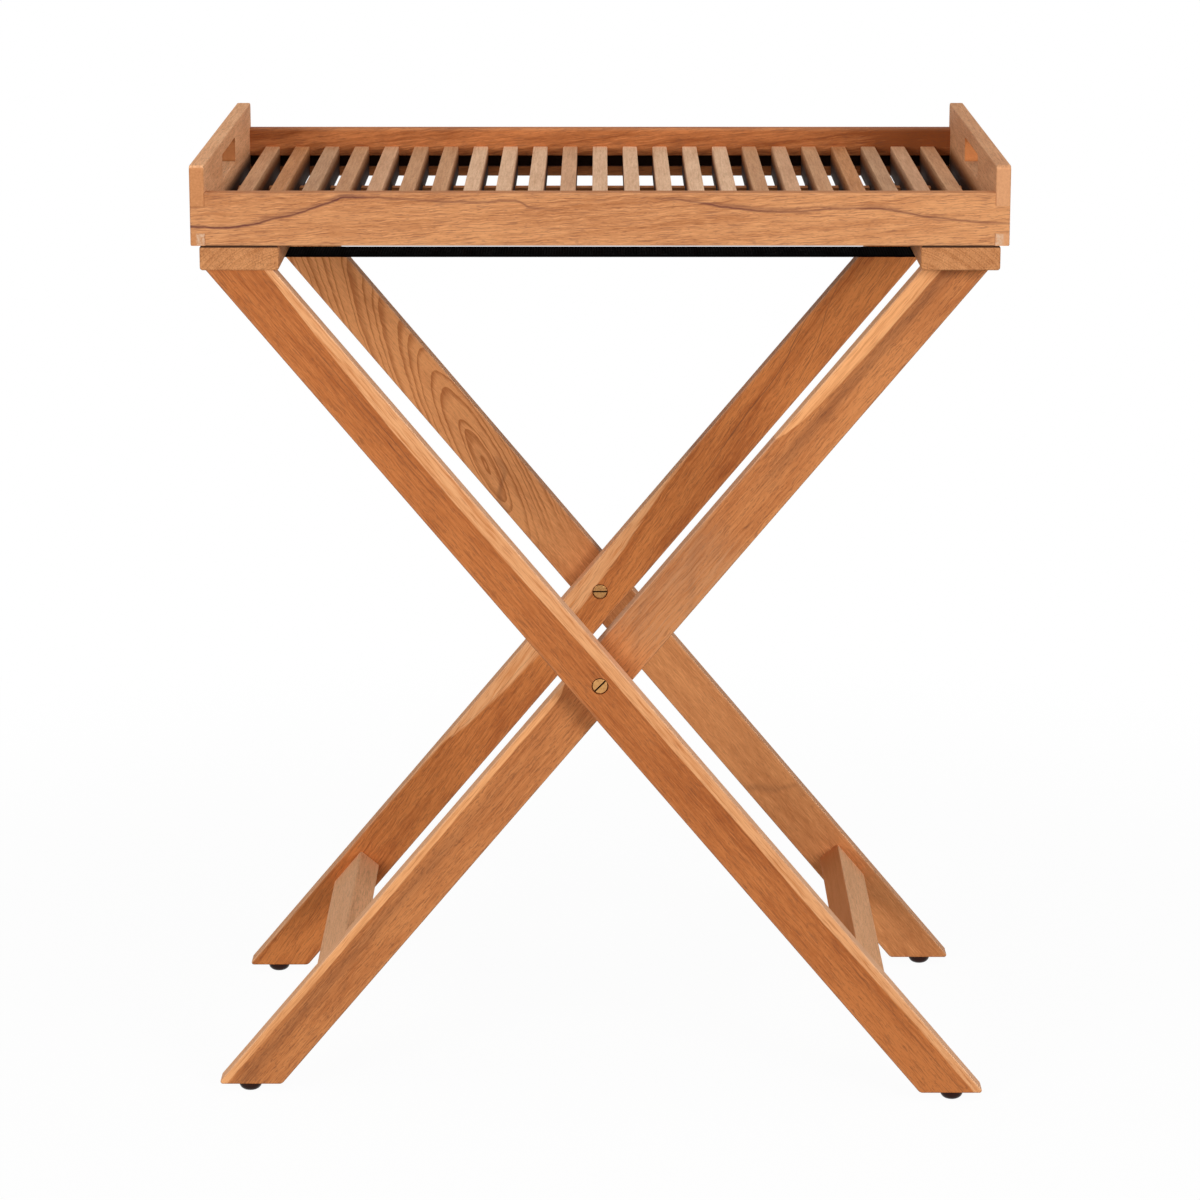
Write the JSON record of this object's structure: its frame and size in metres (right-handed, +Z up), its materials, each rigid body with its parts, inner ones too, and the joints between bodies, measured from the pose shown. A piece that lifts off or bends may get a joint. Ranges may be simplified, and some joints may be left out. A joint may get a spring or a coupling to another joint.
{
  "type": "butlers tray table",
  "caption": "Folding X-legged wooden stand with webbing straps, carrying a removable slatted tray with raised ends and hand slots.",
  "frame": {"origin": "on the floor, under the middle of the tray", "axes": "+X along the tray's length to the right, +Y from front to back, +Z up"},
  "size_m": [0.66, 0.45, 0.795],
  "materials": {
    "tray_wood": "oiled teak, golden",
    "slat_wood": "oiled teak, pale",
    "stand_wood": "oiled teak, reddish",
    "webbing": "woven black strap",
    "pivot_brass": "dulled brass",
    "glide_cap": "dark brown",
    "tack_steel": "blackened"
  },
  "bodies": {
    "outer_frame": {"left_top_rail": "stand_wood", "outer_front_leg": "stand_wood", "outer_back_leg": "stand_wood", "outer_stretcher": "stand_wood", "outer_glides": "glide_cap", "front_pivot_screw": "pivot_brass", "front_pivot_barrel": "pivot_brass", "front_pivot_washer": "pivot_brass", "back_pivot_screw": "pivot_brass", "back_pivot_barrel": "pivot_brass", "back_pivot_washer": "pivot_brass", "front_strap": "webbing", "back_strap": "webbing", "left_rail_tacks": "tack_steel"},
    "inner_frame": {"right_top_rail": "stand_wood", "inner_front_leg": "stand_wood", "inner_back_leg": "stand_wood", "inner_stretcher": "stand_wood", "inner_glides": "glide_cap", "right_rail_tacks": "tack_steel"},
    "tray": {"tray_front_rail": "tray_wood", "tray_back_rail": "tray_wood", "tray_left_end": "tray_wood", "tray_right_end": "tray_wood", "tray_front_strip": "slat_wood", "tray_back_strip": "slat_wood", "tray_slat_01": "slat_wood", "tray_slat_02": "slat_wood", "tray_slat_03": "slat_wood", "tray_slat_04": "slat_wood", "tray_slat_05": "slat_wood", "tray_slat_06": "slat_wood", "tray_slat_07": "slat_wood", "tray_slat_08": "slat_wood", "tray_slat_09": "slat_wood", "tray_slat_10": "slat_wood", "tray_slat_11": "slat_wood", "tray_slat_12": "slat_wood", "tray_slat_13": "slat_wood", "tray_slat_14": "slat_wood", "tray_slat_15": "slat_wood", "tray_slat_16": "slat_wood", "tray_slat_17": "slat_wood", "tray_slat_18": "slat_wood", "tray_slat_19": "slat_wood", "tray_slat_20": "slat_wood", "tray_slat_21": "slat_wood", "tray_slat_22": "slat_wood", "tray_slat_23": "slat_wood"}
  },
  "joints": [
    {"name": "fold", "type": "hinge", "parent": "outer_frame", "child": "inner_frame", "pos_m": [0, -0.0325, 0.363], "axis": [0, -1, 0], "range_deg": [0, 70], "deforming": ["front_strap", "back_strap"]},
    {"name": "tray_lift", "type": "slide", "parent": "outer_frame", "child": "tray", "axis": [0, 0, 1], "range_m": [0, 0.47]}
  ],
  "couplings": [
    {"joint": "tray_lift", "follows": "fold", "m_per_rad": 0.38}
  ]
}
